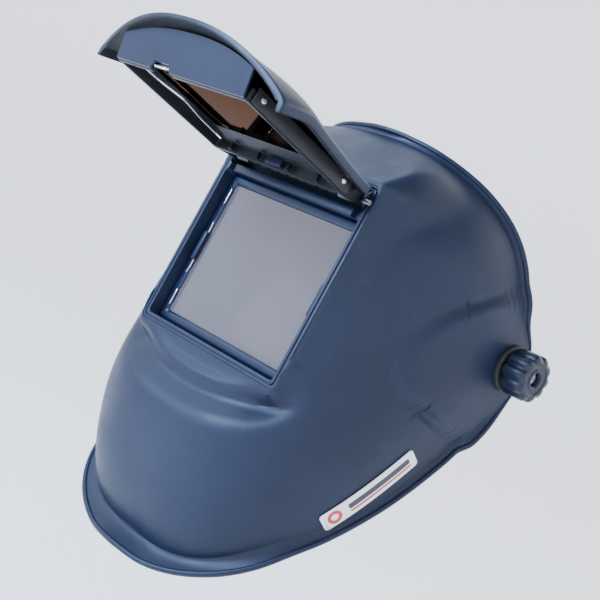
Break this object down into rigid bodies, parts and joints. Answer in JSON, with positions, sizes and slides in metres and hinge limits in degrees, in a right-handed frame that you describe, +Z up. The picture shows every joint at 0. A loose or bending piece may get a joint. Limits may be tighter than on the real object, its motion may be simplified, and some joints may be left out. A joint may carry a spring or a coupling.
{
  "type": "welding helmet",
  "caption": "Passive welding helmet with a lift-up filter front over a clear window, a tilting shell with side knobs and an adjustable ratchet headband.",
  "frame": {"origin": "middle of the axis the shell tilts about, at the centre of the wearer's head between the side bolts", "axes": "+X to the wearer's left along the tilt axis, -Y forward out of the window, +Z up as worn"},
  "size_m": [0.2752, 0.3561, 0.2997],
  "materials": {
    "shell": "satin moulded nylon, dark blue",
    "frame": "satin dark blue",
    "cover": "satin blue",
    "box": "matte black",
    "clear": "clear polycarbonate",
    "filter": "dark tinted filter glass",
    "rubber": "matte black rubber",
    "chrome": "bright spring wire",
    "steel": "zinc plated",
    "knob": "satin moulded",
    "nylon": "black polyethylene",
    "foam": "black foam with cloth face",
    "label": "white sticker",
    "stripe": "printed stripe"
  },
  "bodies": {
    "headgear": {"front_band": "nylon", "sweat_pad": "foam", "crown_pin": "nylon", "crown_strap_left": "nylon", "crown_strap_right": "nylon", "pivot_arm_left": "nylon", "pivot_arm_right": "nylon", "pivot_bolt_left": "steel", "pivot_bolt_right": "steel", "friction_washer_left": "rubber", "friction_washer_right": "rubber"},
    "shell_body": {"shell": "shell", "window_frame": "frame", "window_gasket": "rubber", "clear_lens": "clear", "label_plate": "label", "label_stripe": "stripe", "lens_clip_left": "frame", "lens_clip_right": "frame", "hinge_pin_left": "chrome", "hinge_pin_right": "chrome", "outer_washer_left": "rubber", "outer_washer_right": "rubber", "stop_plate_left": "nylon", "stop_plate_right": "nylon"},
    "flip_front": {"flip_cover": "cover", "filter_box": "box", "box_end_wall": "frame", "filter_lens": "filter", "filter_cover_plate": "clear", "flip_arm_left": "box", "flip_arm_right": "box", "side_bar_left": "frame", "side_bar_right": "frame", "bar_screw_left": "steel", "bar_screw_right": "steel", "retainer_wire_left": "chrome", "retainer_wire_right": "chrome"},
    "left_knob": {"side_knob_left": "knob"},
    "right_knob": {"side_knob_right": "knob"},
    "rear_cradle": {"ratchet_housing": "nylon", "ratchet_cover": "nylon", "nape_pad": "foam", "rear_tail_left": "nylon", "rear_tail_right": "nylon"},
    "ratchet_wheel": {"ratchet_knob": "knob", "pinion": "nylon"}
  },
  "joints": [
    {"name": "shell_tilt", "type": "hinge", "parent": "headgear", "child": "shell_body", "pos_m": [0, 0, 0], "axis": [-1, 0, 0], "range_deg": [0, 72]},
    {"name": "flip_front_hinge", "type": "hinge", "parent": "shell_body", "child": "flip_front", "pos_m": [0, -0.1132, 0.0606], "axis": [1, 0, 0], "range_deg": [0, 96]},
    {"name": "left_knob_turn", "type": "hinge", "parent": "headgear", "child": "left_knob", "pos_m": [0.128, 0, 0], "axis": [1, 0, 0], "range_deg": [-90, 360]},
    {"name": "right_knob_turn", "type": "hinge", "parent": "headgear", "child": "right_knob", "pos_m": [-0.128, 0, 0], "axis": [-1, 0, 0], "range_deg": [-90, 360]},
    {"name": "cradle_slide", "type": "slide", "parent": "headgear", "child": "rear_cradle", "axis": [0, 0.9613, -0.2756], "range_m": [0, 0.012]},
    {"name": "ratchet_turn", "type": "hinge", "parent": "rear_cradle", "child": "ratchet_wheel", "pos_m": [0, 0.10332, -0.02219], "axis": [0, 0.9613, -0.2756], "range_deg": [0, 138]}
  ],
  "couplings": [
    {"joint": "ratchet_turn", "follows": "cradle_slide", "rad_per_m": 200}
  ]
}
